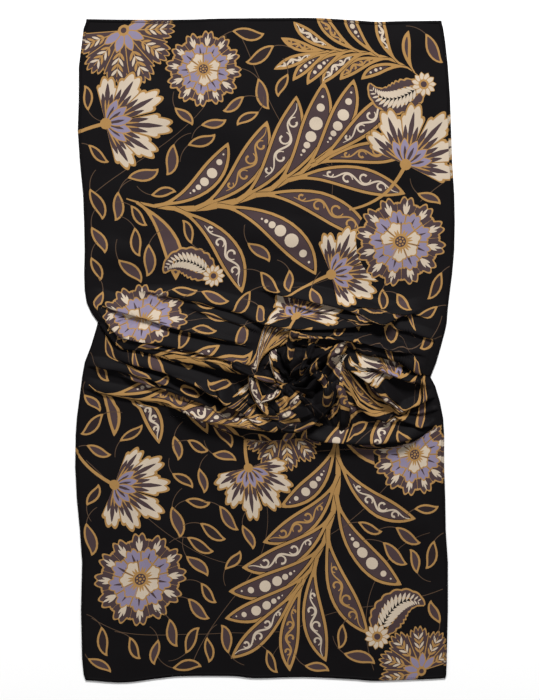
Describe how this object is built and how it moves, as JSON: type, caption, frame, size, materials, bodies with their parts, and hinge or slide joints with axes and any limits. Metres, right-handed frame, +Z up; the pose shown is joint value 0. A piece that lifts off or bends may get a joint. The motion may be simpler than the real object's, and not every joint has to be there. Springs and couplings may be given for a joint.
{
  "type": "scarf",
  "caption": "Long fine woven scarf laid flat, with its middle pinched and turned into a swirl of folds between smooth panels.",
  "frame": {"origin": "centre of the bounding box's base, on the surface that the scarf lies on", "axes": "+Z up; +Y along the scarf's length towards the short end that is at the top of the picture; +X to the right of the picture"},
  "size_m": [0.718, 1.2574, 0.044],
  "materials": {
    "cloth": "fine smooth weave with a soft sheen",
    "hem": "the same cloth, narrowly turned and stitched"
  },
  "bodies": {
    "root": {"upper_panel": "cloth", "upper_gather": "cloth", "twist_core": "cloth", "under_gather_left": "cloth", "under_gather_right": "cloth", "lower_panel": "cloth", "hem_top": "hem", "hem_bottom": "hem", "hem_upper_left": "hem", "hem_upper_right": "hem", "hem_lower_left": "hem", "hem_lower_right": "hem"}
  },
  "joints": []
}
